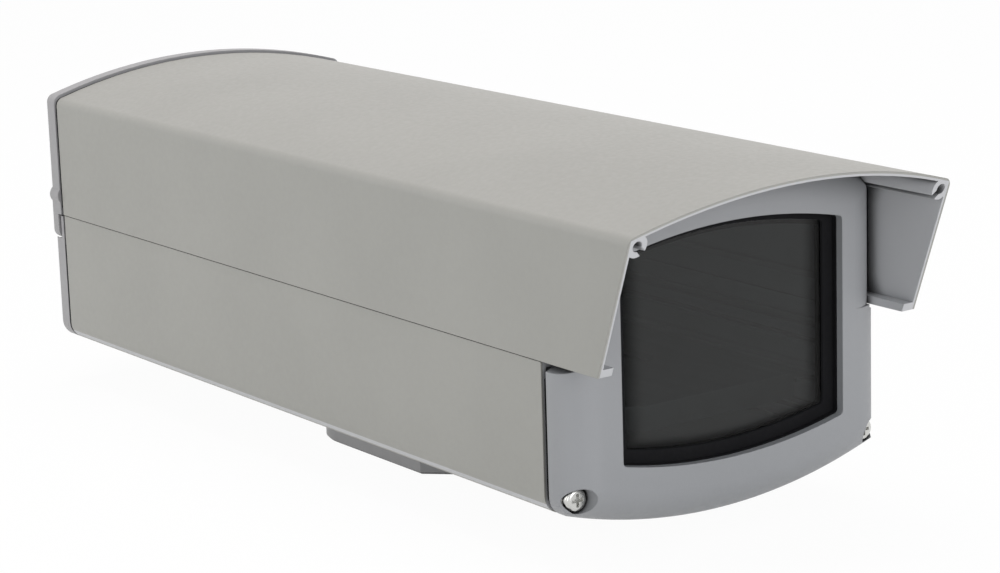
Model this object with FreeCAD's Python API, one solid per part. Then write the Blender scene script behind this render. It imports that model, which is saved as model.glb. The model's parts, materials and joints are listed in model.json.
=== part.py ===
import FreeCAD, Part
import math
import os

# Security camera housing, millimetres.
# Origin: centre of the mounting foot's underside. The window faces -Y, +X is to the
# right for someone looking at the window, +Z is up.

# Cover extrusion
COVER_WIDTH = 160.0
COVER_WALL = 1.8
COVER_SIDE = 55.5          # skirt's lower edge to the roof's corner
ROOF_RISE = 12.1
ROOF_CORNER_R = 4.0
COVER_LENGTH = 415.0       # along the skirt's lower edge
VISOR_LEAN = 20.5          # degrees that the cut front edge leans forward
LIP_REACH = 4.9            # slide lip, inwards from the skirt
LIP_HEIGHT = 3.3
COVER_PORT_R = 4.5         # outside of the screw port in each roof corner
PORT_SLOT = 2.5            # slot along every screw port

# Base extrusion
BASE_LENGTH = 379.5
BASE_REAR = 203.5          # rear end of both extrusions, behind the origin
BASE_INSET = 0.4           # base's outer wall behind the cover's
BASE_WALL = 2.5
BASE_SIDE = 59.1           # seam down to the belly's corner
BELLY_DROP = 13.4
BELLY_CORNER_R = 8.5
RAIL_WEB = 2.6             # thickness of the slide rail's web
RAIL_FLANGE = 2.2
BASE_PORT_R = 4.2
SIDE_PORT_DROP = 20.0      # side port's centre below the seam
CORNER_PORT_DROP = 53.3
CORNER_PORT_IN = 6.0       # corner port's centre from the outer wall face
LOCK_PORT_R = 4.6
SLED_GROOVE_DROP = 37.0    # middle of the sled's groove below the seam
SLED_LEDGE_REACH = 6.0
SLED_LEDGE_THICK = 2.0
FLOOR_RAIL_X = 30.0
FLOOR_RAIL_WIDTH = 10.0
FLOOR_RAIL_DROP = 60.0     # flat top of the floor rails below the seam

# Clearances
SKIRT_GAP = 0.5            # cover's inner wall to the base's rails
SLIDE_GAP = 0.4            # lip to rail, above and below
LIP_END_GAP = 0.6          # lip's edge to the rail's web
SLED_GAP = 0.35
SCREW_GAP = 0.1            # screw shank to the wall of its hole, radial
SCREW_END_GAP = 0.5        # screw's tip to the bottom of its hole
SEAT_GAP = 0.05            # between curved faces that bear on each other
SEAL_GAP = 0.3             # rubber to what it closes on

# Cuts run past the part by the first, additions reach into it by the second
OVER = 1.0
WELD = 0.1

# Front bezel
BEZEL_DEPTH = 16.6
BEZEL_PLATE = 5.0
BEZEL_WALL = 6.5
BEZEL_EDGE_R = 14.3        # rounding of its front
BEZEL_TOP_GAP = 0.8        # bezel's upper half to the inside of the cover
BEZEL_TOP_CORNER_R = 15.0
BEZEL_PORT_GAP = 0.8       # round the cover's screw ports
BEZEL_NOTCH_ABOVE = 4.0    # side notch for the slide lip, above and below the seam
BEZEL_NOTCH_BELOW = 1.2
BEZEL_NOTCH_SLOPE = 0.35
BEZEL_SCREW_RECESS = 11.2
BEZEL_RECESS_R = 5.3
BEZEL_PIN_LENGTH = 12.0
BEZEL_SEAL_SETBACK = 8.2
BEZEL_SEAL_WIDTH = 5.5
BEZEL_SEAL_DEPTH = 1.5
BEZEL_SEAL_RISE = 5.0      # its lower ends above the seam
BEZEL_SEAL_CORNER_R = 24.0
BOSS_R = 3.6
BEZEL_BOSS_R = 8.6         # round the corner screws
FRONT_GASKET_THICK = 3.0
FRONT_GASKET_INSET = 1.5
FRONT_GASKET_DROP = 7.2    # its upper ends below the seam

# Window
WINDOW_MARGIN = 23.8       # cover's side to the opening
WINDOW_SIDE = 81.1         # height of the opening at its sides
WINDOW_DROP = 1.5          # its middle below the seam
WINDOW_BULGE = 6.6         # rise of its upper and lower edges
WINDOW_CORNER_R = 2.0
WINDOW_LAP = 5.0           # glass beyond the opening
GLASS_THICK = 4.0
GLASS_GASKET_THICK = 1.5
GLASS_GASKET_INSET = 0.5   # from the opening's edge
RETAINER_THICK = 1.5
RETAINER_RIM = 10.3        # over the glass
RETAINER_SCREW_RISE = 28.0 # side screws above and below the window's middle
RETAINER_SCREW_DEPTH = 5.0

# Rear end
GASKET_THICK = 1.5
PLATE_THICK = 8.0
CAP_PROUD = 1.2            # cap's edge beyond the cover's roof
CAP_SIDE_PROUD = 0.5
CAP_SPIGOT = 4.0
CAP_SPIGOT_WALL = 3.0
CAP_SPIGOT_RISE = 13.0     # its lower ends above the seam
CAP_EDGE_R = 1.2
LUG_DROP = 12.0            # lug's end below the seam
LUG_WIDTH = 17.0
LUG_THICK = 5.0
LUG_GAP = 0.6
LUG_CORNER_R = 4.0
KNUCKLE_R = 4.5
KNUCKLE_PROUD = 1.2
KNUCKLE_RISE = 9.0
UPSTAND_RISE = 9.0
UPSTAND_THICK = 2.5
UPSTAND_GAP = 1.4          # its ends to the closing screws' ports
UPSTAND_DROP = 14.0        # its root's lower edge below the seam
UPSTAND_ROOT = 6.0
POCKET_INSET = 12.0        # hollow in the rear plate's inner face
POCKET_DROP = 18.0
POCKET_FLOOR = 4.0

# Screws: shank, through hole, head
M5_R = 2.0
M5_CLEAR_R = 2.4
M5_HEAD_R = 4.75
M5_HEAD = 3.7
M5_SINK_R = 4.4            # countersunk head
M5_SINK = 2.6
M3_R = 1.25
M3_CLEAR_R = 1.5
M3_HEAD_R = 2.8
M3_HEAD = 2.0
PAN_ROUND = 0.45           # share of a pan head's height that is rounded
WASHER_THICK = 1.0
WASHER_R = 4.9
SCREW_LENGTH = 18.0        # inside a port
CROSS_WIDTH = 1.2
CROSS_DEPTH = 1.6
CROSS_REACH = 2.6

# Closing screws and their inserts
LOCK_WAIST_R = 1.7
LOCK_HOLE_R = 2.1
LOCK_THREAD_R = 2.4
LOCK_THREAD_LENGTH = 6.0
LOCK_PASS_R = 2.8
LOCK_TRAVEL = 7.0
LOCK_HEAD_R = 4.25
LOCK_HEAD = 5.0
LOCK_HEAD_CHAMFER = 0.6
LOCK_SOCKET = 4.0          # hexagon socket, across flats
INSERT_R = 3.2
INSERT_BORE_R = 2.5
INSERT_LENGTH = 9.0

# Cable glands
GLAND_X = 36.0
GLAND_DROP = 38.0          # below the seam
GLAND_THREAD_R = 7.9
GLAND_HOLE_R = 8.15
GLAND_HEX = 22.0           # across flats
GLAND_HEX_ROUND = 0.56     # rounding of a hexagon's corners, share of its flats' distance
GLAND_FLANGE = 5.0
GLAND_STUB = 14.0
GLAND_NECK_R = 7.6
GLAND_NECK = 9.0
GLAND_BODY_BORE_R = 5.5
GLAND_SEAL_R = 6.3
GLAND_SEAL_LENGTH = 11.0
GLAND_BORE_R = 4.0         # cable way through the seal
GLAND_MOUTH_R = 4.6
GLAND_NUT_HEX = 20.0
GLAND_NUT = 15.0
GLAND_NUT_GAP = 0.5
GLAND_DOME_R = 3.5
GLAND_LOCKNUT = 5.0
GLAND_RING_THICK = 1.5
GLAND_RING_R = 10.6
GLAND_RECESS = 1.0         # sunk seat round each gland
GLAND_RECESS_R = 13.2
GLAND_PAD_R = 15.4

# Mounting foot
FOOT_HEIGHT = 9.8          # under the belly's middle
FOOT_LENGTH = 104.0
FOOT_WIDTH = 88.0
FOOT_CHAMFER = 12.5
FOOT_REAR_R = 25.0
FOOT_EDGE = 1.0
FOOT_SCREW_Y = 25.0
FOOT_SCREW_DEPTH = 8.0
MOUNT_SPACING_X = 40.0
MOUNT_SPACING_Y = 70.0
MOUNT_HOLE_R = 2.55
MOUNT_HOLE_DEPTH = 9.0
TRIPOD_HOLE_R = 2.6
TRIPOD_HOLE_DEPTH = 8.0

# Camera sled
SLED_THICK = 2.5
SLED_LENGTH = 195.0
SLED_Y = -52.5             # sled's middle
SLED_LIP = 8.0
SLED_LIP_GAP = 2.0         # lip's ends to the ledges
SLED_EDGE_GAP = 0.8
SLOT_LENGTH = 100.0
SLOT_WIDTH = 7.0
SLED_WINDOW_X = 34.0
SLED_WINDOW_WIDTH = 18.0
SLED_WINDOW_FRONT = 40.0   # ahead of the sled's middle
SLED_WINDOW_REAR = 20.0
SLED_WINDOW_R = 5.0
CLAMP_THICK = 3.0
CLAMP_WIDTH = 14.0
CLAMP_END_GAP = 1.5
CLAMP_HEEL = 4.0
KNOB_IN = 16.5             # from the base's inner wall
KNOB_Y = 20.0
KNOB_SHANK_R = 2.0
KNOB_R = 7.0
KNOB_HEIGHT = 8.0
KNOB_TAIL = 3.0            # shank below the clamp plate
FLUTES = 12
FLUTE_R = 1.5
FLUTE_OUT = 0.65           # flute's centre beyond the knob's rim
FLUTE_STOP = 1.5
PAD_WIDTH = 44.0
PAD_LENGTH = 60.0
PAD_THICK = 3.0
PAD_CORNER_R = 4.0
TRIPOD_R = 3.15
TRIPOD_HEAD_R = 9.0
TRIPOD_HEAD = 7.0
TRIPOD_WASHER_R = 8.0
TRIPOD_WAIST_R = 2.6
TRIPOD_REACH = 5.0         # screw beyond the pad
TRIPOD_THREAD = 4.5

# Terminal board
BOARD_WIDTH = 76.0
BOARD_LENGTH = 50.0
BOARD_THICK = 1.6
BOARD_Y = 150.0            # board's middle
BOARD_SCREW_INSET = 6.0
BOARD_SCREW_DEPTH = 3.5
SPACER_R = 3.5
SPACER_HEIGHT = 5.0
TERMINALS = 6
TERMINAL_PITCH = 7.5
TERMINAL_DEPTH = 11.0
TERMINAL_HEIGHT = 12.0
TERMINAL_SIDE = 7.2        # height of the block's upright side
TERMINAL_SLANT = 3.0
TERMINAL_WELL = 5.0
TERMINAL_WELL_R = 2.2
TERMINAL_SCREW_R = 2.0
TERMINAL_SCREW = 3.5
TERMINAL_GROOVE = 0.8
WIRE_WAY = 4.0
WIRE_WAY_RISE = 1.5

# Places worked out from the sizes above
HALF = COVER_WIDTH / 2
SEAM = FOOT_HEIGHT + BELLY_DROP + BASE_SIDE
COVER_IN = HALF - COVER_WALL
BASE_HALF = HALF - BASE_INSET
BASE_IN = BASE_HALF - BASE_WALL
ROOF_R = (HALF ** 2 + ROOF_RISE ** 2) / (2 * ROOF_RISE)
ROOF_AXIS = SEAM + COVER_SIDE + ROOF_RISE - ROOF_R
BELLY_R = (BASE_HALF ** 2 + BELLY_DROP ** 2) / (2 * BELLY_DROP)
BELLY_AXIS = SEAM - BASE_SIDE - BELLY_DROP + BELLY_R
BASE_FRONT = BASE_REAR - BASE_LENGTH
BEZEL_REAR = BASE_FRONT - FRONT_GASKET_THICK
BEZEL_FRONT = BEZEL_REAR - BEZEL_DEPTH
BEZEL_BACK = BEZEL_FRONT + BEZEL_PLATE
BEZEL_INSET = COVER_WALL + BEZEL_TOP_GAP
COVER_FRONT = BASE_REAR - COVER_LENGTH
PLATE_FRONT = BASE_REAR + GASKET_THICK
PLATE_REAR = PLATE_FRONT + PLATE_THICK
LIP_EDGE = COVER_IN - LIP_REACH
RAIL_OUT = COVER_IN - SKIRT_GAP
RAIL_BACK = LIP_EDGE - LIP_END_GAP
RAIL_IN = RAIL_BACK - RAIL_WEB
RAIL_TOP = SEAM + LIP_HEIGHT + SLIDE_GAP
COVER_PORT_X = HALF - COVER_PORT_R
COVER_PORT_Z = ROOF_AXIS + math.sqrt((ROOF_R - COVER_PORT_R) ** 2 - COVER_PORT_X ** 2)
LOCK_X = BASE_IN + WELD - LOCK_PORT_R
LOCK_Z = SEAM - SLIDE_GAP - RAIL_WEB - LOCK_PORT_R + WELD
SIDE_PORT_X = BASE_IN + WELD - BASE_PORT_R
SIDE_PORT_Z = SEAM - SIDE_PORT_DROP
CORNER_PORT_X = BASE_HALF - CORNER_PORT_IN
CORNER_PORT_Z = SEAM - CORNER_PORT_DROP
PORT_BORE_R = M5_R + SCREW_GAP
WINDOW_HALF = HALF - WINDOW_MARGIN
WINDOW_Z = SEAM - WINDOW_DROP
UPSTAND_HALF = LOCK_X - LOCK_PORT_R - UPSTAND_GAP
KNOB_X = BASE_IN - KNOB_IN
FLOOR_RAIL_TOP = SEAM - FLOOR_RAIL_DROP
GROOVE_MIDDLE = SEAM - SLED_GROOVE_DROP
GROOVE_HEIGHT = SLED_THICK + 2 * SLED_GAP
SLED_LOW = GROOVE_MIDDLE - SLED_THICK / 2
SLED_TOP = SLED_LOW + SLED_THICK
GLASS_FRONT = BEZEL_BACK + GLASS_GASKET_THICK
GLASS_REAR = GLASS_FRONT + GLASS_THICK
GLAND_Z = SEAM - GLAND_DROP
GLAND_SEAT = PLATE_REAR - GLAND_RECESS
GLAND_FRONT = GLAND_SEAT + GLAND_RING_THICK
BOARD_LOW = FLOOR_RAIL_TOP + SPACER_HEIGHT
BOARD_TOP = BOARD_LOW + BOARD_THICK


def vec(x, y, z):
    return FreeCAD.Vector(x, y, z)


def block(x0, x1, y0, y1, z0, z1):
    return Part.makeBox(x1 - x0, y1 - y0, z1 - z0, vec(x0, y0, z0))


def rod_y(x, z, y0, y1, radius):
    return Part.makeCylinder(radius, y1 - y0, vec(x, y0, z), vec(0, 1, 0))


def rod_z(x, y, z0, z1, radius):
    return Part.makeCylinder(radius, z1 - z0, vec(x, y, z0), vec(0, 0, 1))


def bore_y(x, z, y0, y1, radius):
    """Rod for cutting, which runs past both ends."""
    return rod_y(x, z, y0 - OVER, y1 + OVER, radius)


def bore_z(x, y, z0, z1, radius):
    return rod_z(x, y, z0 - OVER, z1 + OVER, radius)


def tube_y(x, z, y0, y1, outer, inner):
    return rod_y(x, z, y0, y1, outer).cut(bore_y(x, z, y0, y1, inner))


def tube_z(x, y, z0, z1, outer, inner):
    return rod_z(x, y, z0, z1, outer).cut(bore_z(x, y, z0, z1, inner))


def hexagon_y(x, z, y0, y1, across):
    corner = across / math.sqrt(3)
    points = [vec(x + corner * math.cos(math.radians(60 * i)), y0,
                  z + corner * math.sin(math.radians(60 * i))) for i in range(7)]
    return Part.Face(Part.makePolygon(points)).extrude(vec(0, y1 - y0, 0))


def prism_y(outline, y0, y1):
    """Solid along Y from corners given as (x, z)."""
    points = [vec(x, y0, z) for x, z in outline + outline[:1]]
    return Part.Face(Part.makePolygon(points)).extrude(vec(0, y1 - y0, 0))


def prism_x(outline, x0, x1):
    """Solid along X from corners given as (y, z)."""
    points = [vec(x0, y, z) for y, z in outline + outline[:1]]
    return Part.Face(Part.makePolygon(points)).extrude(vec(x1 - x0, 0, 0))


def mirrored(shape):
    return shape.mirror(vec(0, 0, 0), vec(1, 0, 0))


def both(shape):
    """The shape and its mirror image in the housing's middle plane."""
    return [shape, mirrored(shape)]


def fused(first, others):
    return first.fuse(others).removeSplitter()


def four_places(x, y0, y1):
    return [(side * x, y) for side in (-1, 1) for y in (y0, y1)]


def edges_along(shape, direction, test):
    """Straight edges that run along a direction, chosen by their middle point."""
    chosen = []
    for edge in shape.Edges:
        if not isinstance(edge.Curve, Part.Line):
            continue
        if abs(abs(edge.tangentAt(edge.FirstParameter).dot(direction)) - 1) > 1e-6:
            continue
        if test(edge.CenterOfMass):
            chosen.append(edge)
    return chosen


def upright_rounded(shape, radius):
    """Rounds every upright edge."""
    return shape.makeFillet(radius, edges_along(shape, vec(0, 0, 1), lambda p: True))


def edges_at(shape, y, z_min, z_max):
    """Edges that lie in the plane at y, between two heights."""
    return [e for e in shape.Edges if abs(e.BoundBox.YMin - y) < 0.01 and abs(e.BoundBox.YMax - y) < 0.01
            and e.BoundBox.ZMin > z_min and e.BoundBox.ZMax < z_max]


def vault(half, z_flat, axis_z, radius, side, y0, y1, corner):
    """Prism along Y, flat at one end, with an arc at the other (side 1 up, -1 down)."""
    z_corner = axis_z + side * math.sqrt(radius ** 2 - half ** 2)
    left_low, left_high = vec(-half, y0, z_flat), vec(-half, y0, z_corner)
    right_low, right_high = vec(half, y0, z_flat), vec(half, y0, z_corner)
    crown = vec(0, y0, axis_z + side * radius)
    outline = Part.Wire([Part.LineSegment(left_low, left_high).toShape(),
                         Part.Arc(left_high, crown, right_high).toShape(),
                         Part.LineSegment(right_high, right_low).toShape(),
                         Part.LineSegment(right_low, left_low).toShape()])
    solid = Part.Face(outline).extrude(vec(0, y1 - y0, 0))
    rounded = edges_along(solid, vec(0, 1, 0), lambda p: abs(p.z - z_corner) < 0.01)
    return solid.makeFillet(corner, rounded)


def roof_vault(inset, z_flat, y0, y1, corner):
    """Outline of the cover, moved inwards by inset."""
    return vault(HALF - inset, z_flat, ROOF_AXIS, ROOF_R - inset, 1, y0, y1, corner)


def belly_vault(inset, z_flat, y0, y1, corner):
    """Outline of the base, moved inwards by inset."""
    return vault(BASE_HALF - inset, z_flat, BELLY_AXIS, BELLY_R - inset, -1, y0, y1, corner)


def port_slot(x, z, angle, reach, y0, y1):
    """Cut that opens a round port to one side; the angle is in the XZ plane."""
    slot = block(0, reach, y0 - OVER, y1 + OVER, -PORT_SLOT / 2, PORT_SLOT / 2)
    slot.rotate(vec(0, 0, 0), vec(0, 1, 0), -angle)
    slot.translate(vec(x, 0, z))
    return slot


def cross_recess(x, y, z):
    """Cross slot sunk into a head that faces -Y at y."""
    half = CROSS_WIDTH / 2
    wide = block(x - CROSS_REACH, x + CROSS_REACH, y, y + CROSS_DEPTH, z - half, z + half)
    tall = block(x - half, x + half, y, y + CROSS_DEPTH, z - CROSS_REACH, z + CROSS_REACH)
    return wide.fuse(tall)


def pan_screw_front(x, z, seat, length, radius, head_r, head):
    """Cross-recess pan head screw driven from the front: the head's seat is at y = seat."""
    top = rod_y(x, z, seat - head, seat, head_r)
    rim = edges_at(top, seat - head, z - 2 * head_r, z + 2 * head_r)
    top = top.makeFillet(PAN_ROUND * head, rim)
    shank = rod_y(x, z, seat, seat + length, radius)
    return fused(top, [shank]).cut(cross_recess(x, seat - head, z))


def turned_round(shape, y):
    """The shape as it would be driven from behind: mirrored in the plane at y."""
    return shape.mirror(vec(0, y, 0), vec(0, 1, 0))


def pan_screw_rear(x, z, seat, length, radius, head_r, head):
    return turned_round(pan_screw_front(x, z, seat, length, radius, head_r, head), seat)


def pan_screw_down(x, y, seat, length, radius, head_r, head):
    """Pan head screw driven downwards: the head's seat is at z = seat."""
    screw = pan_screw_rear(0, 0, 0, length, radius, head_r, head)
    screw.rotate(vec(0, 0, 0), vec(1, 0, 0), 90)
    screw.translate(vec(x, y, seat))
    return screw


def sunk_screw_rear(x, z, face, length):
    """Countersunk screw driven from behind: its head is flush with y = face."""
    cone = Part.makeCone(M5_R, M5_SINK_R, M5_SINK, vec(x, face - M5_SINK, z), vec(0, 1, 0))
    shank = rod_y(x, z, face - length, face - M5_SINK, M5_R)
    return fused(cone, [shank]).cut(turned_round(cross_recess(x, face, z), face))


def sunk_hole_rear(x, z, face):
    """Hole through a plate for a countersunk screw, in a face that looks backwards."""
    grow = 2 * SCREW_GAP
    cone = Part.makeCone(M5_R + grow, M5_SINK_R + grow, M5_SINK, vec(x, face - M5_SINK, z), vec(0, 1, 0))
    mouth = rod_y(x, z, face, face + OVER, M5_SINK_R + grow)
    return cone.fuse([mouth, bore_y(x, z, face - PLATE_THICK, face - OVER, M5_R + grow)])


def cover_shell():
    y0, y1 = COVER_FRONT - COVER_SIDE, BASE_REAR
    outside = roof_vault(0, SEAM, y0, y1, ROOF_CORNER_R)
    inside = roof_vault(COVER_WALL, SEAM - OVER, y0 - OVER, y1 + OVER, ROOF_CORNER_R - COVER_WALL)
    lip = block(LIP_EDGE, COVER_IN + WELD, y0, y1, SEAM, SEAM + LIP_HEIGHT)
    boss = rod_y(COVER_PORT_X, COVER_PORT_Z, y0, y1, COVER_PORT_R)
    shell = fused(outside.cut(inside), both(lip) + both(boss))
    bore = bore_y(COVER_PORT_X, COVER_PORT_Z, y0, y1, PORT_BORE_R)
    slot = port_slot(COVER_PORT_X, COVER_PORT_Z, 225, 2 * COVER_PORT_R, y0, y1)
    return shell.cut(both(bore) + both(slot)).cut(visor_cut(y0)).removeSplitter()


def visor_cut(front):
    """What is sawn off in front of the leaning front edge."""
    lean = math.tan(math.radians(VISOR_LEAN))
    low, high = -OVER, COVER_SIDE + ROOF_RISE + OVER
    outline = [(front - OVER, SEAM + low), (COVER_FRONT - low * lean, SEAM + low),
               (COVER_FRONT - high * lean, SEAM + high), (front - OVER, SEAM + high)]
    return prism_x(outline, -HALF - OVER, HALF + OVER)


def slide_rail():
    """Right-hand rail on the base: shoulder, web and flange that the cover's lip runs in."""
    shoulder = SEAM - SLIDE_GAP
    flange_top = RAIL_TOP + RAIL_FLANGE
    outline = [(BASE_HALF, shoulder), (RAIL_BACK, shoulder), (RAIL_BACK, RAIL_TOP),
               (RAIL_OUT, RAIL_TOP), (RAIL_OUT, flange_top), (RAIL_IN, flange_top),
               (RAIL_IN, shoulder - RAIL_WEB), (BASE_HALF, shoulder - RAIL_WEB)]
    return prism_y(outline, BASE_FRONT, BASE_REAR)


def sled_ledges():
    """Right-hand pair of ledges; the camera sled's edge runs between them."""
    x0, x1 = BASE_IN - SLED_LEDGE_REACH, BASE_IN + WELD
    low = GROOVE_MIDDLE - GROOVE_HEIGHT / 2
    high = GROOVE_MIDDLE + GROOVE_HEIGHT / 2
    return [block(x0, x1, BASE_FRONT, BASE_REAR, low - SLED_LEDGE_THICK, low),
            block(x0, x1, BASE_FRONT, BASE_REAR, high, high + SLED_LEDGE_THICK)]


def base_ports():
    """Right-hand screw ports as (x, z, outside radius, direction of the slot)."""
    return [(LOCK_X, LOCK_Z, LOCK_PORT_R, 225), (SIDE_PORT_X, SIDE_PORT_Z, BASE_PORT_R, 180),
            (CORNER_PORT_X, CORNER_PORT_Z, BASE_PORT_R, 135)]


def base_shell():
    y0, y1 = BASE_FRONT, BASE_REAR
    top = SEAM - SLIDE_GAP
    outside = belly_vault(0, top, y0, y1, BELLY_CORNER_R)
    hollow = belly_vault(BASE_WALL, top + OVER, y0 - OVER, y1 + OVER, BELLY_CORNER_R - BASE_WALL)
    floor_rail = block(FLOOR_RAIL_X - FLOOR_RAIL_WIDTH / 2, FLOOR_RAIL_X + FLOOR_RAIL_WIDTH / 2,
                       y0, y1, 0, FLOOR_RAIL_TOP)
    additions = both(slide_rail()) + both(floor_rail.common(outside))
    for ledge in sled_ledges():
        additions += both(ledge)
    bores = []
    for x, z, radius, angle in base_ports():
        additions += both(rod_y(x, z, y0, y1, radius).common(outside))
        bores += both(bore_y(x, z, y0, y1, PORT_BORE_R))
        bores += both(port_slot(x, z, angle, 2 * radius, y0, y1))
    bores += both(rod_y(LOCK_X, LOCK_Z, y1 - INSERT_LENGTH, y1 + OVER, INSERT_R))
    shell = fused(outside.cut(hollow), additions).cut(bores)
    return shell.cut(foot_screw_holes() + board_screw_holes()).removeSplitter()


def foot_screw_places():
    return four_places(FLOOR_RAIL_X, -FOOT_SCREW_Y, FOOT_SCREW_Y)


def foot_top():
    """Height of the foot's top face over the foot screws."""
    return BELLY_AXIS - math.sqrt(BELLY_R ** 2 - FLOOR_RAIL_X ** 2)


def foot_screw_holes():
    low = foot_top() - FOOT_SCREW_DEPTH - SCREW_END_GAP
    return [rod_z(x, y, low, FLOOR_RAIL_TOP + OVER, M5_R + SCREW_GAP) for x, y in foot_screw_places()]


def board_screw_places():
    reach = BOARD_LENGTH / 2 - BOARD_SCREW_INSET
    return four_places(FLOOR_RAIL_X, BOARD_Y - reach, BOARD_Y + reach)


def board_screw_holes():
    low = FLOOR_RAIL_TOP - BOARD_SCREW_DEPTH - SCREW_END_GAP
    return [rod_z(x, y, low, FLOOR_RAIL_TOP + OVER, M3_R + SCREW_GAP) for x, y in board_screw_places()]


def bezel_outline(inset, y0, y1):
    """Lower and upper half of the bezel's outline, moved inwards by inset."""
    lower = belly_vault(inset, SEAM, y0, y1, BELLY_CORNER_R - inset)
    upper = roof_vault(BEZEL_INSET + inset, SEAM, y0, y1, BEZEL_TOP_CORNER_R - inset)
    return lower, upper


def rounded_front(solid, half, axis_z, radius, y0, y1):
    """Rounds the front: the side edges upright, the bowed edge round the bow's axis."""
    nose = block(-half, half, y0, y1, -HALF, SEAM + 2 * HALF)
    nose = nose.makeFillet(BEZEL_EDGE_R, edges_along(nose, vec(0, 0, 1), lambda p: p.y < y0 + WELD))
    disc = rod_y(0, axis_z, y0, y1, radius)
    disc = disc.makeFillet(BEZEL_EDGE_R, [e for e in disc.Edges if e.BoundBox.YMax < y0 + WELD])
    return solid.common(nose).common(disc)


def window_prism(grow, y0, y1):
    """Window shape: straight sides, bowed top and bottom, grown on every side."""
    half = WINDOW_HALF
    bow_r = (half ** 2 + WINDOW_BULGE ** 2) / (2 * WINDOW_BULGE)
    centre = WINDOW_SIDE / 2 + WINDOW_BULGE - bow_r
    top = vault(half + grow, WINDOW_Z, WINDOW_Z + centre, bow_r + grow, 1, y0, y1, WINDOW_CORNER_R)
    bottom = vault(half + grow, WINDOW_Z, WINDOW_Z - centre, bow_r + grow, -1, y0, y1, WINDOW_CORNER_R)
    return fused(top, [bottom])


def lip_notch(y0, y1):
    """Right-hand notch in the bezel's side that the cover's lip passes through."""
    low, high = SEAM - BEZEL_NOTCH_BELOW, SEAM + BEZEL_NOTCH_ABOVE
    far = BASE_HALF + OVER
    outline = [(RAIL_BACK, high), (RAIL_BACK, low), (far, low - (far - RAIL_BACK) * BEZEL_NOTCH_SLOPE),
               (far, high)]
    return prism_y(outline, y0 - OVER, y1 + OVER)


def retainer_screw_places():
    """Screws that hold the window's retainer, as (x, z)."""
    side = WINDOW_HALF + WINDOW_LAP + BOSS_R
    tall = WINDOW_SIDE / 2 + WINDOW_BULGE + WINDOW_LAP + BOSS_R
    low, high = WINDOW_Z - RETAINER_SCREW_RISE, WINDOW_Z + RETAINER_SCREW_RISE
    return four_places(side, low, high) + [(0, WINDOW_Z - tall)]


def bezel_body():
    """The bezel's outside as a solid: lower half in line with the base, upper half inside the cover."""
    y0, y1 = BEZEL_FRONT, BEZEL_REAR
    lower, upper = bezel_outline(0, y0, y1)
    lower = rounded_front(lower, BASE_HALF, BELLY_AXIS, BELLY_R, y0, y1)
    upper = rounded_front(upper, HALF - BEZEL_INSET, ROOF_AXIS, ROOF_R - BEZEL_INSET, y0, y1)
    return fused(lower, [upper])


def front_bezel():
    y0, y1 = BEZEL_FRONT, BEZEL_REAR
    outside = bezel_body()
    low_in, up_in = bezel_outline(BEZEL_WALL, BEZEL_BACK, y1 + OVER)
    body = outside.cut(low_in.fuse(up_in))
    body = body.cut(both(lip_notch(y0, y1)) + [window_prism(0, y0 - OVER, y1)])
    body = fused(body, bezel_bosses(y1, outside))
    body = body.cut(both(bezel_recess(y0)) + both(port_relief(y0, y1)))
    return body.cut(bezel_holes(y0, y1)).cut(bezel_seal_groove()).removeSplitter()


def bezel_bosses(y1, outside):
    root = BEZEL_BACK - OVER
    bosses = both(rod_y(CORNER_PORT_X, CORNER_PORT_Z, root, y1, BEZEL_BOSS_R))
    bosses += both(rod_y(SIDE_PORT_X, SIDE_PORT_Z, root, y1, BOSS_R))
    bosses = [boss.common(outside) for boss in bosses]
    for x, z in retainer_screw_places():
        bosses.append(rod_y(x, z, root, GLASS_REAR, BOSS_R))
    pin = rod_y(SIDE_PORT_X, SIDE_PORT_Z, y1 - OVER, y1 + BEZEL_PIN_LENGTH, M5_R)
    return bosses + both(pin)


def bezel_recess(y0):
    """Right-hand corner recess round the fixing screw's head."""
    return rod_y(CORNER_PORT_X, CORNER_PORT_Z, y0 - OVER, y0 + BEZEL_SCREW_RECESS, BEZEL_RECESS_R)


def port_relief(y0, y1):
    """Right-hand hollow in the bezel's upper corner for the cover's screw port."""
    return bore_y(COVER_PORT_X, COVER_PORT_Z, y0, y1, COVER_PORT_R + BEZEL_PORT_GAP)


def bezel_holes(y0, y1):
    holes = both(bore_y(CORNER_PORT_X, CORNER_PORT_Z, y0, y1, M5_CLEAR_R))
    for x, z in retainer_screw_places():
        low = GLASS_REAR - RETAINER_SCREW_DEPTH - SCREW_END_GAP
        holes.append(rod_y(x, z, low, GLASS_REAR + OVER, M3_R + SCREW_GAP))
    return holes


def bezel_seal_groove():
    """Groove round the bezel's upper half."""
    y0 = BEZEL_FRONT + BEZEL_SEAL_SETBACK
    y1 = y0 + BEZEL_SEAL_WIDTH
    low = SEAM + BEZEL_SEAL_RISE
    outer = roof_vault(BEZEL_INSET - OVER, low, y0, y1, BEZEL_TOP_CORNER_R)
    inner = roof_vault(BEZEL_INSET + BEZEL_SEAL_DEPTH, low - OVER, y0 - OVER, y1 + OVER,
                       BEZEL_SEAL_CORNER_R)
    return outer.cut(inner)


def bezel_rim_seal():
    """Rubber strip that fills the gap between the bezel and the inside of the cover."""
    y0 = BEZEL_FRONT + BEZEL_SEAL_SETBACK + SCREW_GAP
    y1 = y0 + BEZEL_SEAL_WIDTH - 2 * SCREW_GAP
    low = SEAM + BEZEL_SEAL_RISE + SCREW_GAP
    outer = roof_vault(COVER_WALL + SEAL_GAP, low, y0, y1, BEZEL_TOP_CORNER_R)
    inner = roof_vault(BEZEL_INSET + BEZEL_SEAL_DEPTH - SEAT_GAP, low - OVER, y0 - OVER, y1 + OVER,
                       BEZEL_SEAL_CORNER_R)
    return outer.cut([inner] + both(bore_y(COVER_PORT_X, COVER_PORT_Z, y0, y1, COVER_PORT_R + SEAL_GAP)))


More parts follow.
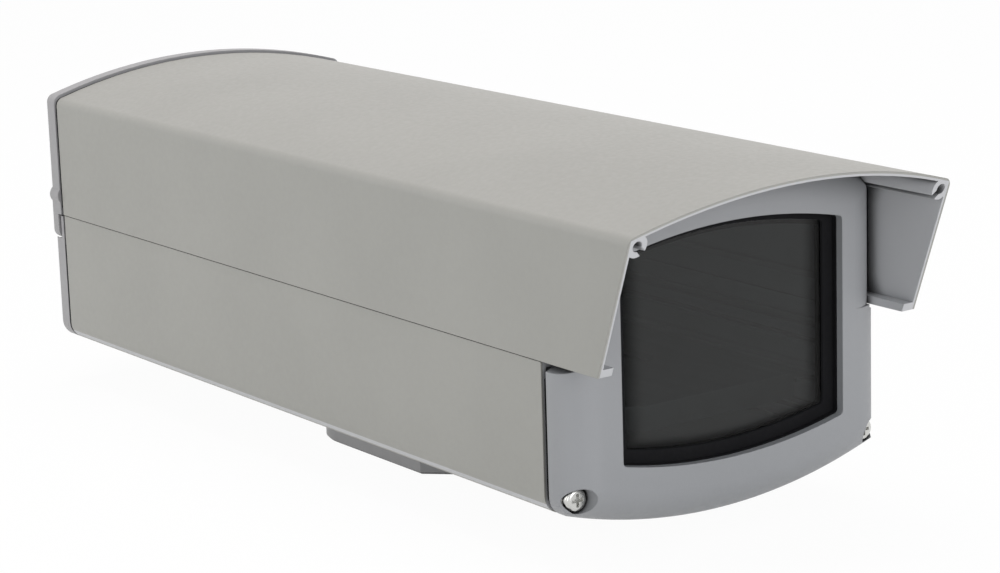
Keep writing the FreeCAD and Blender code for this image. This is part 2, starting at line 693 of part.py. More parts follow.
def bezel_gasket():
    """Flat rubber frame between the bezel and the base."""
    y0, y1 = BEZEL_REAR, BASE_FRONT
    outer = belly_vault(FRONT_GASKET_INSET, SEAM - FRONT_GASKET_DROP, y0, y1,
                        BELLY_CORNER_R - FRONT_GASKET_INSET)
    inner = belly_vault(BEZEL_WALL, SEAM, y0 - OVER, y1 + OVER, BELLY_CORNER_R - BEZEL_WALL)
    holes, pads = [], []
    for x, z in ((CORNER_PORT_X, CORNER_PORT_Z), (SIDE_PORT_X, SIDE_PORT_Z)):
        holes += both(bore_y(x, z, y0, y1, M5_CLEAR_R))
        pads += both(rod_y(x, z, y0, y1, BASE_PORT_R).common(outer))
    return fused(outer.cut(inner), pads).cut(holes)


def bezel_screws():
    seat = BEZEL_FRONT + BEZEL_SCREW_RECESS - WASHER_THICK
    length = BASE_FRONT - seat + SCREW_LENGTH
    screw = pan_screw_front(CORNER_PORT_X, CORNER_PORT_Z, seat, length, M5_R, M5_HEAD_R, M5_HEAD)
    return Part.makeCompound(both(screw))


def bezel_washers():
    y1 = BEZEL_FRONT + BEZEL_SCREW_RECESS
    washer = tube_y(CORNER_PORT_X, CORNER_PORT_Z, y1 - WASHER_THICK, y1, WASHER_R, M5_CLEAR_R)
    return Part.makeCompound(both(washer))


def window_gasket():
    hole = window_prism(GLASS_GASKET_INSET, BEZEL_BACK - OVER, GLASS_FRONT + OVER)
    return window_prism(WINDOW_LAP, BEZEL_BACK, GLASS_FRONT).cut(hole)


def window_glass():
    return window_prism(WINDOW_LAP - SEAL_GAP, GLASS_FRONT, GLASS_REAR)


def window_retainer():
    y0, y1 = GLASS_REAR, GLASS_REAR + RETAINER_THICK
    lower, upper = bezel_outline(BEZEL_WALL + OVER, y0 - OVER, y1 + OVER)
    plate = window_prism(WINDOW_LAP + 2 * BOSS_R, y0, y1).common(lower.fuse(upper))
    holes = [bore_y(x, z, y0, y1, M3_CLEAR_R) for x, z in retainer_screw_places()]
    holes += both(bore_y(SIDE_PORT_X, SIDE_PORT_Z, y0, y1, BOSS_R + SKIRT_GAP))
    holes += both(bore_y(CORNER_PORT_X, CORNER_PORT_Z, y0, y1, BEZEL_BOSS_R + SKIRT_GAP))
    return plate.cut(holes + [window_prism(WINDOW_LAP - RETAINER_RIM, y0 - OVER, y1 + OVER)])


def retainer_screws():
    seat = GLASS_REAR + RETAINER_THICK
    length = RETAINER_THICK + RETAINER_SCREW_DEPTH
    return Part.makeCompound([pan_screw_rear(x, z, seat, length, M3_R, M3_HEAD_R, M3_HEAD)
                              for x, z in retainer_screw_places()])


def lug_outline(grow):
    """Right-hand lug of the end cap that laps over the rear plate, grown all round."""
    lug = block(HALF - LUG_WIDTH - grow, HALF + CAP_SIDE_PROUD + grow, PLATE_REAR - LUG_THICK - grow,
                PLATE_REAR, SEAM - LUG_DROP - grow, SEAM + KNUCKLE_RISE)
    return lug.makeFillet(LUG_CORNER_R, edges_along(lug, vec(0, 1, 0), lambda p: p.z < SEAM))


def cover_end_cap():
    y0, y1 = PLATE_FRONT, PLATE_REAR
    knuckle_z = SEAM + KNUCKLE_RISE
    plate = vault(HALF + CAP_SIDE_PROUD, SEAM, ROOF_AXIS, ROOF_R + CAP_PROUD, 1, y0, y1, ROOF_CORNER_R)
    knuckle = rod_y(HALF + CAP_SIDE_PROUD + KNUCKLE_PROUD - KNUCKLE_R, knuckle_z, y0, y1, KNUCKLE_R)
    cap = fused(plate, both(knuckle) + both(lug_outline(0)))
    rim = [e for e in cap.Edges if abs(e.BoundBox.YMin - y1) < 0.01 and e.BoundBox.ZMin > knuckle_z]
    cap = fused(cap.makeFillet(CAP_EDGE_R, rim), [cap_spigot()])
    holes = both(sunk_hole_rear(COVER_PORT_X, COVER_PORT_Z, y1))
    holes += both(bore_y(LOCK_X, LOCK_Z, y0, y1, LOCK_HOLE_R))
    return cap.cut(holes).removeSplitter()


def cap_spigot():
    """Rim on the cap's inner face that locates it inside the cover."""
    y0, y1 = BASE_REAR - CAP_SPIGOT, PLATE_FRONT + OVER
    low = SEAM + CAP_SPIGOT_RISE
    inset = COVER_WALL + SKIRT_GAP
    corner = ROOF_CORNER_R - inset
    outer = roof_vault(inset, low, y0, y1, corner)
    inner = roof_vault(inset + CAP_SPIGOT_WALL, low - OVER, y0 - OVER, PLATE_FRONT, corner)
    ports = both(rod_y(COVER_PORT_X, COVER_PORT_Z, y0 - OVER, PLATE_FRONT, COVER_PORT_R + SKIRT_GAP))
    return outer.cut([inner] + ports)


def end_cap_gasket():
    y0, y1 = BASE_REAR, PLATE_FRONT
    inner_inset = COVER_WALL + SEAL_GAP
    ring = roof_vault(SEAL_GAP, SEAM + LIP_HEIGHT, y0, y1, ROOF_CORNER_R)
    ring = ring.cut(roof_vault(inner_inset, SEAM, y0 - OVER, y1 + OVER, ROOF_CORNER_R - inner_inset))
    boss = rod_y(COVER_PORT_X, COVER_PORT_Z, y0, y1, COVER_PORT_R - SEAL_GAP)
    return fused(ring, both(boss)).cut(both(bore_y(COVER_PORT_X, COVER_PORT_Z, y0, y1, M5_CLEAR_R)))


def end_cap_screws():
    length = PLATE_REAR - BASE_REAR + SCREW_LENGTH
    return Part.makeCompound(both(sunk_screw_rear(COVER_PORT_X, COVER_PORT_Z, PLATE_REAR, length)))


def closing_screw():
    """Right-hand closing screw: waisted, so that it stays in the lug when it is undone."""
    head_end = PLATE_REAR + LOCK_HEAD
    thread_end = PLATE_REAR - LUG_THICK - LOCK_TRAVEL
    head = rod_y(LOCK_X, LOCK_Z, PLATE_REAR, head_end, LOCK_HEAD_R)
    head = head.makeChamfer(LOCK_HEAD_CHAMFER, edges_at(head, head_end, 0, SEAM))
    waist = rod_y(LOCK_X, LOCK_Z, thread_end - OVER, PLATE_REAR + OVER, LOCK_WAIST_R)
    thread = rod_y(LOCK_X, LOCK_Z, thread_end - LOCK_THREAD_LENGTH, thread_end, LOCK_THREAD_R)
    socket = hexagon_y(LOCK_X, LOCK_Z, PLATE_REAR + LOCK_HEAD / 2, head_end + OVER, LOCK_SOCKET)
    return fused(head, [waist, thread]).cut(socket)


def closing_inserts():
    y0, y1 = BASE_REAR - INSERT_LENGTH + SEAT_GAP, BASE_REAR
    return Part.makeCompound(both(tube_y(LOCK_X, LOCK_Z, y0, y1, INSERT_R - SEAT_GAP, INSERT_BORE_R)))


def gland_places():
    return [("left", -GLAND_X), ("middle", 0.0), ("right", GLAND_X)]


def rear_plate():
    y0, y1 = PLATE_FRONT, PLATE_REAR
    plate = belly_vault(0, SEAM - 2 * SLIDE_GAP, y0, y1, BELLY_CORNER_R)
    plate = plate.makeFillet(CAP_EDGE_R, edges_at(plate, y1, 0, SEAM - OVER))
    pocket = belly_vault(POCKET_INSET, SEAM - POCKET_DROP, y0 - OVER, y1 - POCKET_FLOOR, BELLY_CORNER_R)
    pads = [rod_y(x, GLAND_Z, y0, y1 - OVER, GLAND_PAD_R) for _, x in gland_places()]
    plate = fused(plate.cut(pocket), pads).cut(both(lug_outline(LUG_GAP)))
    return fused(plate, upstand()).cut(rear_plate_holes(y0, y1)).removeSplitter()


def upstand():
    """Wall inside the rear opening that the end cap's seal presses on, and its root."""
    half, y0, low = UPSTAND_HALF, BASE_REAR - UPSTAND_THICK, SEAM - UPSTAND_DROP
    return [block(-half, half, y0, BASE_REAR, low, SEAM + UPSTAND_RISE),
            block(-half, half, y0, PLATE_FRONT + OVER, low, low + UPSTAND_ROOT)]


def rear_plate_screw_places():
    return [(side * x, z) for side in (-1, 1)
            for x, z in ((CORNER_PORT_X, CORNER_PORT_Z), (SIDE_PORT_X, SIDE_PORT_Z))]


def rear_plate_holes(y0, y1):
    holes = both(bore_y(LOCK_X, LOCK_Z, y0, y1, LOCK_PASS_R))
    for x, z in rear_plate_screw_places():
        holes.append(sunk_hole_rear(x, z, y1))
    for _, x in gland_places():
        holes.append(rod_y(x, GLAND_Z, GLAND_SEAT, y1 + OVER, GLAND_RECESS_R))
        holes.append(bore_y(x, GLAND_Z, y0, y1, GLAND_HOLE_R))
    return holes


def rear_plate_screws():
    length = PLATE_REAR - BASE_REAR + SCREW_LENGTH
    return Part.makeCompound([sunk_screw_rear(x, z, PLATE_REAR, length)
                              for x, z in rear_plate_screw_places()])


def rear_plate_gasket():
    y0, y1 = BASE_REAR, PLATE_FRONT
    inner_inset = BASE_WALL + SEAL_GAP
    outer = belly_vault(SEAL_GAP, SEAM - UPSTAND_DROP - OVER, y0, y1, BELLY_CORNER_R)
    inner = belly_vault(inner_inset, SEAM, y0 - OVER, y1 + OVER, BELLY_CORNER_R - inner_inset)
    pads, holes = [], []
    for x, z in rear_plate_screw_places():
        pads.append(rod_y(x, z, y0, y1, BASE_PORT_R - SEAL_GAP).common(outer))
        holes.append(bore_y(x, z, y0, y1, M5_CLEAR_R))
    return fused(outer.cut(inner), pads).cut(holes)


def cap_seal():
    """Foam strip on the rear plate's upstand that the end cap presses on."""
    half = UPSTAND_HALF - UPSTAND_THICK
    return block(-half, half, BASE_REAR, PLATE_FRONT - SEAL_GAP, SEAM + OVER, SEAM + UPSTAND_RISE - OVER)


def gland_body(x):
    flange_end = GLAND_FRONT + GLAND_FLANGE
    neck_end = flange_end + GLAND_NECK
    flange = hexagon_y(x, GLAND_Z, GLAND_FRONT, flange_end, GLAND_HEX)
    flange = flange.common(rod_y(x, GLAND_Z, GLAND_FRONT, flange_end, GLAND_HEX * GLAND_HEX_ROUND))
    stub = rod_y(x, GLAND_Z, GLAND_FRONT - GLAND_STUB, GLAND_FRONT + OVER, GLAND_THREAD_R)
    neck = rod_y(x, GLAND_Z, flange_end - OVER, neck_end, GLAND_NECK_R)
    bore = bore_y(x, GLAND_Z, GLAND_FRONT - GLAND_STUB, flange_end, GLAND_BODY_BORE_R)
    seat = rod_y(x, GLAND_Z, flange_end, neck_end + OVER, GLAND_SEAL_R + SCREW_GAP)
    return fused(flange, [stub, neck]).cut([bore, seat])


def gland_ring(x):
    return tube_y(x, GLAND_Z, GLAND_SEAT, GLAND_FRONT, GLAND_RING_R, GLAND_THREAD_R + SCREW_GAP)


def gland_seal(x):
    y0 = GLAND_FRONT + GLAND_FLANGE + SCREW_GAP
    return tube_y(x, GLAND_Z, y0, y0 + GLAND_SEAL_LENGTH, GLAND_SEAL_R, GLAND_BORE_R)


def gland_nut(x):
    """Dome nut: hexagonal, closing to a rounded mouth."""
    y0 = GLAND_FRONT + GLAND_FLANGE + GLAND_NUT_GAP
    y1 = y0 + GLAND_NUT
    dome = rod_y(x, GLAND_Z, y0, y1, GLAND_NUT_HEX * GLAND_HEX_ROUND)
    dome = dome.makeFillet(GLAND_DOME_R, edges_at(dome, y1, 0, SEAM))
    nut = hexagon_y(x, GLAND_Z, y0, y1, GLAND_NUT_HEX).common(dome)
    return nut.cut([rod_y(x, GLAND_Z, y0 - OVER, y0 + GLAND_NECK, GLAND_NECK_R + SCREW_GAP),
                    rod_y(x, GLAND_Z, y0, y0 + GLAND_SEAL_LENGTH, GLAND_SEAL_R + SCREW_GAP),
                    bore_y(x, GLAND_Z, y0, y1, GLAND_MOUTH_R)])


def gland_locknut(x):
    y0, y1 = PLATE_FRONT - GLAND_LOCKNUT, PLATE_FRONT
    nut = hexagon_y(x, GLAND_Z, y0, y1, GLAND_HEX)
    return nut.cut(bore_y(x, GLAND_Z, y0, y1, GLAND_THREAD_R + SCREW_GAP))


def mounting_foot():
    half, front, rear = FOOT_WIDTH / 2, -FOOT_LENGTH / 2, FOOT_LENGTH / 2
    foot = block(-half, half, front, rear, 0, SEAM - BASE_SIDE)
    foot = foot.makeChamfer(FOOT_CHAMFER, edges_along(foot, vec(0, 0, 1), lambda p: p.y < 0))
    foot = foot.makeFillet(FOOT_REAR_R, edges_along(foot, vec(0, 0, 1), lambda p: p.y > rear - OVER))
    foot = foot.cut(belly_vault(-SEAT_GAP, SEAM, front - OVER, rear + OVER, BELLY_CORNER_R))
    foot = foot.makeChamfer(FOOT_EDGE, [e for e in foot.Edges if e.BoundBox.ZMax < 0.01])
    holes = foot_screw_holes() + [rod_z(0, 0, -OVER, TRIPOD_HOLE_DEPTH, TRIPOD_HOLE_R)]
    for x, y in four_places(MOUNT_SPACING_X / 2, -MOUNT_SPACING_Y / 2, MOUNT_SPACING_Y / 2):
        holes.append(rod_z(x, y, -OVER, MOUNT_HOLE_DEPTH, MOUNT_HOLE_R))
    return foot.cut(holes)


def foot_screws():
    seat = FLOOR_RAIL_TOP + WASHER_THICK
    length = seat - foot_top() + FOOT_SCREW_DEPTH
    return Part.makeCompound([pan_screw_down(x, y, seat, length, M5_R, M5_HEAD_R, M5_HEAD)
                              for x, y in foot_screw_places()])


def foot_washers():
    z0, z1 = FLOOR_RAIL_TOP, FLOOR_RAIL_TOP + WASHER_THICK
    return Part.makeCompound([tube_z(x, y, z0, z1, WASHER_R, M5_CLEAR_R) for x, y in foot_screw_places()])


def camera_sled():
    """Sheet metal tray that slides between the base's ledges, lips turned down at both ends."""
    half = BASE_IN - SLED_EDGE_GAP
    lip_half = BASE_IN - SLED_LEDGE_REACH - SLED_LIP_GAP
    y0, y1 = SLED_Y - SLED_LENGTH / 2, SLED_Y + SLED_LENGTH / 2
    tray = block(-half, half, y0, y1, SLED_LOW, SLED_TOP)
    lips = [block(-lip_half, lip_half, y, y + SLED_THICK, SLED_LOW - SLED_LIP, SLED_TOP)
            for y in (y0, y1 - SLED_THICK)]
    slot = block(-SLOT_WIDTH / 2, SLOT_WIDTH / 2, SLED_Y - SLOT_LENGTH / 2, SLED_Y + SLOT_LENGTH / 2,
                 SLED_LOW - OVER, SLED_TOP + OVER)
    slot = upright_rounded(slot, 0.49 * SLOT_WIDTH)
    window = block(SLED_WINDOW_X - SLED_WINDOW_WIDTH / 2, SLED_WINDOW_X + SLED_WINDOW_WIDTH / 2,
                   SLED_Y - SLED_WINDOW_FRONT, SLED_Y + SLED_WINDOW_REAR, SLED_LOW - OVER, SLED_TOP + OVER)
    window = upright_rounded(window, SLED_WINDOW_R)
    knob_hole = bore_z(KNOB_X, KNOB_Y, SLED_LOW, SLED_TOP, KNOB_SHANK_R + 2 * SCREW_GAP)
    return fused(tray, lips).cut([slot, knob_hole] + both(window))


def clamp_top():
    """Top of the clamp plate, just under the base's lower ledge."""
    return GROOVE_MIDDLE - GROOVE_HEIGHT / 2 - SLED_LEDGE_THICK - SLED_GAP


def sled_clamp():
    """Clamp plate under the base's lower ledge, drawn up by the thumb screw."""
    top = clamp_top()
    low = top - CLAMP_THICK
    y0, y1 = KNOB_Y - CLAMP_WIDTH / 2, KNOB_Y + CLAMP_WIDTH / 2
    x1 = BASE_IN - CLAMP_END_GAP
    x0 = 2 * KNOB_X - x1
    heel = block(x0, x0 + CLAMP_HEEL, y0, y1, low, SLED_LOW)
    plate = fused(block(x0, x1, y0, y1, low, top), [heel])
    return plate.cut(bore_z(KNOB_X, KNOB_Y, low, top, KNOB_SHANK_R + SCREW_GAP))


def fluted(head, x, y, radius, z0, z1):
    """Flutes cut round a knob's rim."""
    reach = radius + FLUTE_OUT
    turns = [2 * math.pi * i / FLUTES for i in range(FLUTES)]
    return head.cut([rod_z(x + reach * math.cos(turn), y + reach * math.sin(turn), z0, z1, FLUTE_R)
                     for turn in turns])


def sled_knob():
    """Thumb screw that clamps the sled."""
    low, top = clamp_top() - CLAMP_THICK - KNOB_TAIL, SLED_TOP + KNOB_HEIGHT
    head = rod_z(KNOB_X, KNOB_Y, SLED_TOP, top, KNOB_R)
    head = fluted(head, KNOB_X, KNOB_Y, KNOB_R, SLED_TOP + FLUTE_STOP, top + OVER)
    return fused(head, [rod_z(KNOB_X, KNOB_Y, low, SLED_TOP + OVER, KNOB_SHANK_R)])


def camera_pad():
    low, top = SLED_TOP + SLED_GAP, SLED_TOP + PAD_THICK
    pad = block(-PAD_WIDTH / 2, PAD_WIDTH / 2, SLED_Y - PAD_LENGTH / 2, SLED_Y + PAD_LENGTH / 2, low, top)
    return upright_rounded(pad, PAD_CORNER_R).cut(bore_z(0, SLED_Y, low, top, TRIPOD_R + SCREW_GAP))


def camera_screw():
    """Quarter-inch camera screw: fluted head under the sled, waist through the pad, thread above."""
    seat = SLED_LOW - SLED_GAP - WASHER_THICK
    low, top = seat - TRIPOD_HEAD, SLED_TOP + PAD_THICK + TRIPOD_REACH
    head = rod_z(0, SLED_Y, low, seat, TRIPOD_HEAD_R)
    head = fluted(head, 0, SLED_Y, TRIPOD_HEAD_R, low - OVER, seat - FLUTE_STOP)
    waist = rod_z(0, SLED_Y, seat - OVER, top - OVER, TRIPOD_WAIST_R)
    return fused(head, [waist, rod_z(0, SLED_Y, top - TRIPOD_THREAD, top, TRIPOD_R)])


def camera_screw_washer():
    top = SLED_LOW - SLED_GAP
    return tube_z(0, SLED_Y, top - WASHER_THICK, top, TRIPOD_WASHER_R, TRIPOD_R + SCREW_GAP)


def terminal_board():
    board = block(-BOARD_WIDTH / 2, BOARD_WIDTH / 2, BOARD_Y - BOARD_LENGTH / 2,
                  BOARD_Y + BOARD_LENGTH / 2, BOARD_LOW, BOARD_TOP)
    return board.cut([bore_z(x, y, BOARD_LOW, BOARD_TOP, M3_CLEAR_R) for x, y in board_screw_places()])


def board_spacers():
    return Part.makeCompound([tube_z(x, y, FLOOR_RAIL_TOP, BOARD_LOW, SPACER_R, M3_CLEAR_R)
                              for x, y in board_screw_places()])


def board_screws():
    length = BOARD_TOP - FLOOR_RAIL_TOP + BOARD_SCREW_DEPTH
    return Part.makeCompound([pan_screw_down(x, y, BOARD_TOP, length, M3_R, M3_HEAD_R, M3_HEAD)
                              for x, y in board_screw_places()])


def terminal_places():
    """Each pole's x."""
    return [(i - (TERMINALS - 1) / 2) * TERMINAL_PITCH for i in range(TERMINALS)]


def terminal_block():
    """Plastic block with a wire way and a clamp screw's well at each pole."""
    half = TERMINALS * TERMINAL_PITCH / 2
    y0, y1 = BOARD_Y - TERMINAL_DEPTH / 2, BOARD_Y + TERMINAL_DEPTH / 2
    top = BOARD_TOP + TERMINAL_HEIGHT
    side = BOARD_TOP + TERMINAL_SIDE
    body = prism_x([(y0, BOARD_TOP), (y1, BOARD_TOP), (y1, side), (y1 - TERMINAL_SLANT, top),
                    (y0 + TERMINAL_SLANT, top), (y0, side)], -half, half)
    cuts = []
    for x in terminal_places():
        low = BOARD_TOP + WIRE_WAY_RISE
        cuts.append(rod_z(x, BOARD_Y, top - TERMINAL_WELL, top + OVER, TERMINAL_WELL_R))
        cuts.append(block(x - WIRE_WAY / 2, x + WIRE_WAY / 2, y0 - OVER, y0 + WIRE_WAY, low, low + WIRE_WAY))
    return body.cut(cuts)


def terminal_screws():
    """Slotted clamp screws in the block's wells."""
    low = BOARD_TOP + TERMINAL_HEIGHT - TERMINAL_WELL
    top = low + TERMINAL_SCREW
    screws = []
    for x in terminal_places():
        groove = block(x - TERMINAL_WELL_R, x + TERMINAL_WELL_R, BOARD_Y - TERMINAL_GROOVE / 2,
                       BOARD_Y + TERMINAL_GROOVE / 2, top - TERMINAL_GROOVE, top + OVER)
        screws.append(rod_z(x, BOARD_Y, low, top, TERMINAL_SCREW_R).cut(groove))
    return Part.makeCompound(screws)


def all_nodes():
    """Every node's name with its shape."""
    right_screw = closing_screw()
    nodes = {
        "cover_shell": cover_shell(),
        "cover_end_cap": cover_end_cap(),
        "end_cap_gasket": end_cap_gasket(),
        "end_cap_screws": end_cap_screws(),
        "closing_screw_left": mirrored(right_screw),
        "closing_screw_right": right_screw,
        "base_shell": base_shell(),
        "front_bezel": front_bezel(),
        "bezel_gasket": bezel_gasket(),
        "bezel_rim_seal": bezel_rim_seal(),
        "bezel_screws": bezel_screws(),
        "bezel_washers": bezel_washers(),
        "window_gasket": window_gasket(),
        "window_glass": window_glass(),
        "window_retainer": window_retainer(),
        "retainer_screws": retainer_screws(),
        "closing_inserts": closing_inserts(),
        "rear_plate": rear_plate(),
        "rear_plate_screws": rear_plate_screws(),
        "rear_plate_gasket": rear_plate_gasket(),
        "cap_seal": cap_seal(),
        "mounting_foot": mounting_foot(),
        "foot_screws": foot_screws(),
        "foot_washers": foot_washers(),
        "camera_sled": camera_sled(),
        "sled_clamp": sled_clamp(),
        "sled_knob": sled_knob(),
        "camera_pad": camera_pad(),
        "camera_screw": camera_screw(),
        "camera_screw_washer": camera_screw_washer(),
        "terminal_board": terminal_board(),
        "board_spacers": board_spacers(),
        "board_screws": board_screws(),
        "terminal_block": terminal_block(),
        "terminal_screws": terminal_screws(),
    }
    for name, x in gland_places():
        nodes["gland_body_" + name] = gland_body(x)
        nodes["gland_ring_" + name] = gland_ring(x)
        nodes["gland_seal_" + name] = gland_seal(x)
        nodes["gland_nut_" + name] = gland_nut(x)
        nodes["gland_locknut_" + name] = gland_locknut(x)
    return nodes


def main():
    os.makedirs("parts", exist_ok=True)
    for name, shape in all_nodes().items():
        shape.exportStep("parts/" + name + ".step")


main()
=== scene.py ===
import json
import math

import bpy
from mathutils import Matrix, Vector


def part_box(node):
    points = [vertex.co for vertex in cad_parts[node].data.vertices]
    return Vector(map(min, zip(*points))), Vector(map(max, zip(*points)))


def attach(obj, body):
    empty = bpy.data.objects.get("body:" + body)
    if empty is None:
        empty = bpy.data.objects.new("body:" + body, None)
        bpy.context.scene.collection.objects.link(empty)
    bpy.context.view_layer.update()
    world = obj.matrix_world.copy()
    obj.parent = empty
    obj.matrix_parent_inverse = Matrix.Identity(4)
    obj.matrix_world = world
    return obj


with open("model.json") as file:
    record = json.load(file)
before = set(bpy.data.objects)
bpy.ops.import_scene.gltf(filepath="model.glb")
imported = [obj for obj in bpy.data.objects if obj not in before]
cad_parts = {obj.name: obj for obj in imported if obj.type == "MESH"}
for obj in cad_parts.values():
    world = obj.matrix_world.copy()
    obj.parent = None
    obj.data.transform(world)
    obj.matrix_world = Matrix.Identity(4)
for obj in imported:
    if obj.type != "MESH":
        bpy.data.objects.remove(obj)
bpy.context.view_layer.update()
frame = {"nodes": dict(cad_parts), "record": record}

nodes = frame["nodes"]


# Camera, lights and backdrop. Lengths are metres.

PICTURE_WIDTH = 1000.0     # pixels
LENS_PX = 2979.6           # focal length in the same pixels
AZIMUTH = 35.7285          # degrees to the window's left
ELEVATION = 13.0121
ROLL = -1.7969
ASIDE, RISE, AWAY = 0.0911115, -0.0188718, 1.1549884
AIM = Vector((0.0, -0.1956, 0.0823))

# Name, place, target, diameter, watts and colour
LAMPS = (
    ("left", (-1.9, -0.85, 0.45), (0.0, -0.1, 0.1), 1.2, 5.2, (0.95, 0.975, 1.0)),
    ("front", (0.1, -2.0, 0.6), (0.0, -0.1, 0.1), 1.2, 12.0, (0.98, 0.98, 1.0)),
    ("rear", (-1.0, 0.65, 0.35), (0.0, 0.15, 0.1), 0.7, 2.5, (0.99, 0.98, 0.95)),
    ("top", (0.1, 0.2, 1.8), (0.0, 0.0, 0.1), 1.4, 18.6, (1.0, 0.94, 0.93)),
)

ROOM_COLOUR = (0.93, 0.96, 1.0)
ROOM_STRENGTH = 0.52
WHITE = (1.0, 1.0, 1.0)

FLOOR_REACH = 6.0
FLOOR_DROP = 0.0005        # below the foot
FLOOR_COLOUR = (0.88, 0.88, 0.87)
FLOOR_WHITE = 0.96         # share of plain white where the floor is seen directly


def add_camera():
    """Camera that stands ASIDE, RISE and AWAY from AIM, measured in its own directions."""
    az, el, roll = (math.radians(a) for a in (AZIMUTH, ELEVATION, ROLL))
    back = Vector((-math.sin(az) * math.cos(el), -math.cos(az) * math.cos(el), math.sin(el)))
    level_right = Vector((math.cos(az), -math.sin(az), 0.0))
    level_up = level_right.cross(-back)
    right = math.cos(roll) * level_right + math.sin(roll) * level_up
    up = math.cos(roll) * level_up - math.sin(roll) * level_right
    data = bpy.data.cameras.new("camera")
    data.lens = LENS_PX * data.sensor_width / PICTURE_WIDTH
    camera = bpy.data.objects.new("camera", data)
    bpy.context.scene.collection.objects.link(camera)
    place = AIM - ASIDE * right - RISE * up + AWAY * back
    turn = Matrix((right, up, back)).transposed().to_4x4()
    camera.matrix_world = Matrix.Translation(place) @ turn
    bpy.context.scene.camera = camera


def add_lamp(name, place, target, diameter, watts, colour):
    data = bpy.data.lights.new(name, "AREA")
    data.shape = "DISK"
    data.size = diameter
    data.energy = watts
    data.color = colour
    lamp = bpy.data.objects.new(name, data)
    lamp.location = place
    lamp.rotation_euler = (Vector(target) - Vector(place)).to_track_quat("-Z", "Y").to_euler()
    bpy.context.scene.collection.objects.link(lamp)


def seen_directly(tree):
    """1 for rays that show the backdrop: from the camera, a mirror or through glass."""
    path = tree.nodes.new("ShaderNodeLightPath")
    first = tree.nodes.new("ShaderNodeMath")
    first.operation = "MAXIMUM"
    second = tree.nodes.new("ShaderNodeMath")
    second.operation = "MAXIMUM"
    tree.links.new(path.outputs["Is Camera Ray"], first.inputs[0])
    tree.links.new(path.outputs["Is Glossy Ray"], first.inputs[1])
    tree.links.new(first.outputs[0], second.inputs[0])
    tree.links.new(path.outputs["Is Transmission Ray"], second.inputs[1])
    return second.outputs[0]


def mixed(tree, share, first, second, output):
    """Mixes two shaders by a share and sends them to the output node."""
    mix = tree.nodes.new("ShaderNodeMixShader")
    tree.links.new(share, mix.inputs[0])
    tree.links.new(first.outputs[0], mix.inputs[1])
    tree.links.new(second.outputs[0], mix.inputs[2])
    tree.links.new(mix.outputs[0], output.inputs[0])


def set_world():
    """Soft light from all sides, and plain white where the backdrop is seen."""
    world = bpy.data.worlds.new("studio")
    bpy.context.scene.world = world
    world.use_nodes = True
    tree = world.node_tree
    tree.nodes.clear()
    output = tree.nodes.new("ShaderNodeOutputWorld")
    light = tree.nodes.new("ShaderNodeBackground")
    light.inputs["Color"].default_value = (*ROOM_COLOUR, 1.0)
    light.inputs["Strength"].default_value = ROOM_STRENGTH
    white = tree.nodes.new("ShaderNodeBackground")
    white.inputs["Color"].default_value = (*WHITE, 1.0)
    white.inputs["Strength"].default_value = 1.0
    mixed(tree, seen_directly(tree), light, white, output)


def add_floor():
    """Pale floor that keeps the object's shadow and shows nearly white."""
    mesh = bpy.data.meshes.new("floor")
    reach = FLOOR_REACH
    corners = [(-reach, -reach, 0), (reach, -reach, 0), (reach, reach, 0), (-reach, reach, 0)]
    mesh.from_pydata(corners, [], [(0, 1, 2, 3)])
    floor = bpy.data.objects.new("floor", mesh)
    bpy.context.scene.collection.objects.link(floor)
    floor.location.z = -FLOOR_DROP
    material = bpy.data.materials.new("floor")
    material.use_nodes = True
    tree = material.node_tree
    tree.nodes.clear()
    output = tree.nodes.new("ShaderNodeOutputMaterial")
    matt = tree.nodes.new("ShaderNodeBsdfDiffuse")
    matt.inputs["Color"].default_value = (*FLOOR_COLOUR, 1.0)
    glow = tree.nodes.new("ShaderNodeEmission")
    glow.inputs["Strength"].default_value = 1.0
    share = tree.nodes.new("ShaderNodeMath")
    share.operation = "MULTIPLY"
    share.inputs[1].default_value = FLOOR_WHITE
    tree.links.new(seen_directly(tree), share.inputs[0])
    mixed(tree, share.outputs[0], matt, glow, output)
    floor.data.materials.append(material)


# Materials. They use object coordinates, which are the row's own metres.

DRAWN_ALONG_Y = (1.0, 0.01, 1.0)     # stretch of a noise into lines
ROLLED_ALONG_Y = (1.0, 0.02, 1.0)
BANDED_ALONG_Y = (1.0, 0.05, 1.0)
TURNED_MARKS = (1.0, 0.15, 1.0)
TURNED_RELIEF = (1.0, 0.2, 1.0)


